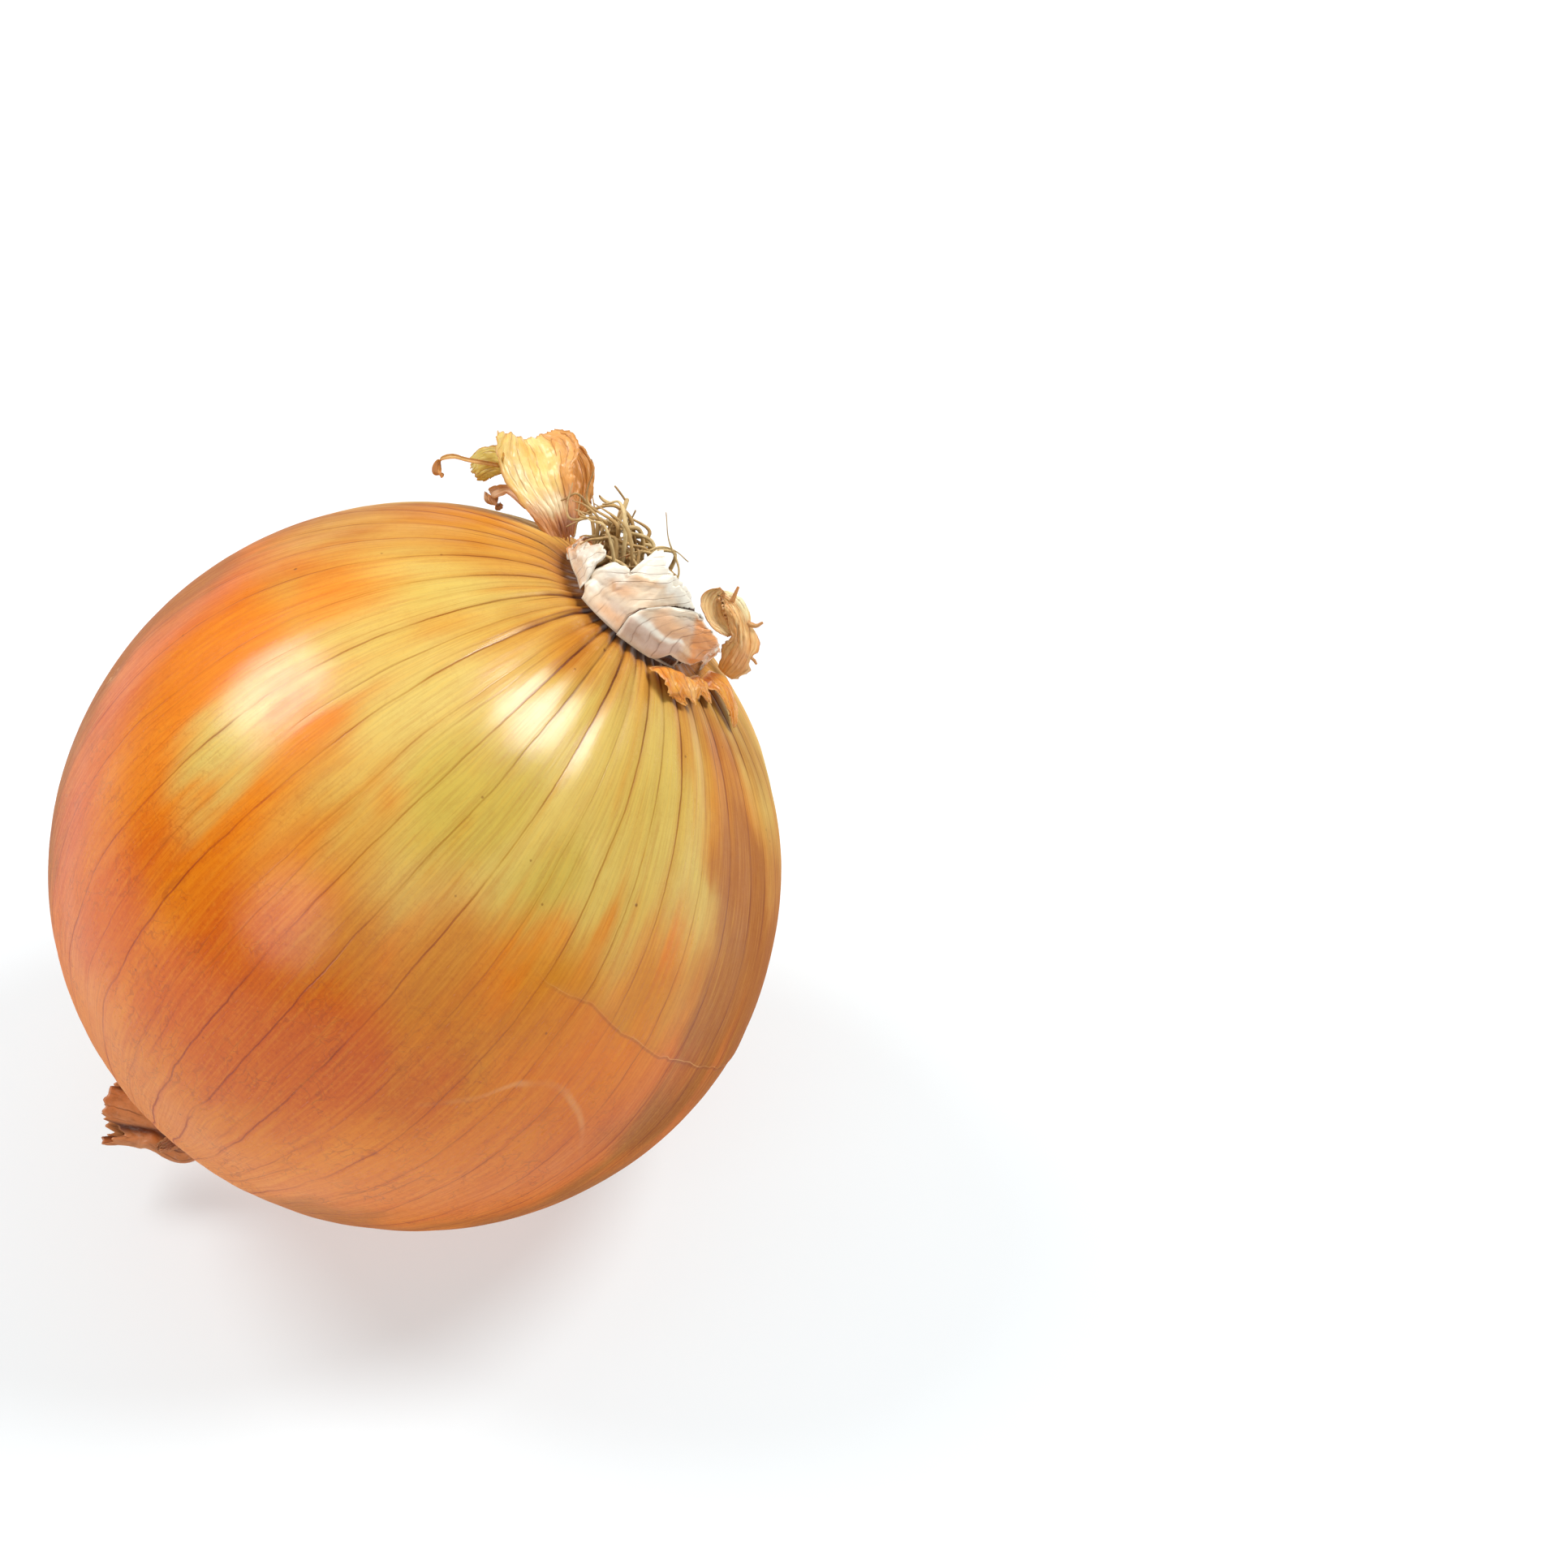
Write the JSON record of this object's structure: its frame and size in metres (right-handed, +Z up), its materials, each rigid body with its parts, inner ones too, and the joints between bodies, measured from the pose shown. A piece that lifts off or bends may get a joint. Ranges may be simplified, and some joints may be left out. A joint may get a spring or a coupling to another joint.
{
  "type": "onion",
  "caption": "Yellow bulb onion lying on its side, with a papery collar, loose dry skin flaps, dry roots and a withered neck.",
  "frame": {"origin": "middle of the small flat spot that the bulb rests on, on the table", "axes": "+Z up from the table; -Y towards the viewer's side, which shows the broad front of the bulb; the root end points up and to +X, the neck end down and to -X"},
  "size_m": [0.085, 0.0848, 0.0843],
  "materials": {
    "bulb_skin": "satin, thin dry skin over a firm bulb, golden orange with darker veins",
    "neck_skin": "matte, withered brown",
    "ivory_skin": "matte papery ivory",
    "golden_skin": "thin golden papery skin with a slight gloss",
    "orange_skin": "thin orange papery skin with a slight gloss",
    "root_fibre": "dry matte fibre"
  },
  "bodies": {
    "root": {"bulb": "bulb_skin", "collar_lobe": "ivory_skin", "dried_neck": "neck_skin", "neck_shred": "neck_skin", "root_01": "root_fibre", "root_02": "root_fibre", "root_03": "root_fibre", "root_04": "root_fibre", "root_05": "root_fibre", "root_06": "root_fibre", "root_07": "root_fibre", "root_08": "root_fibre", "root_09": "root_fibre", "root_10": "root_fibre", "root_11": "root_fibre", "root_12": "root_fibre", "root_13": "root_fibre", "root_14": "root_fibre", "root_collar": "ivory_skin", "skin_curl_right": "orange_skin", "skin_flap_large": "golden_skin", "skin_flap_lower_left": "orange_skin", "skin_flap_lower_right": "orange_skin"}
  },
  "joints": []
}
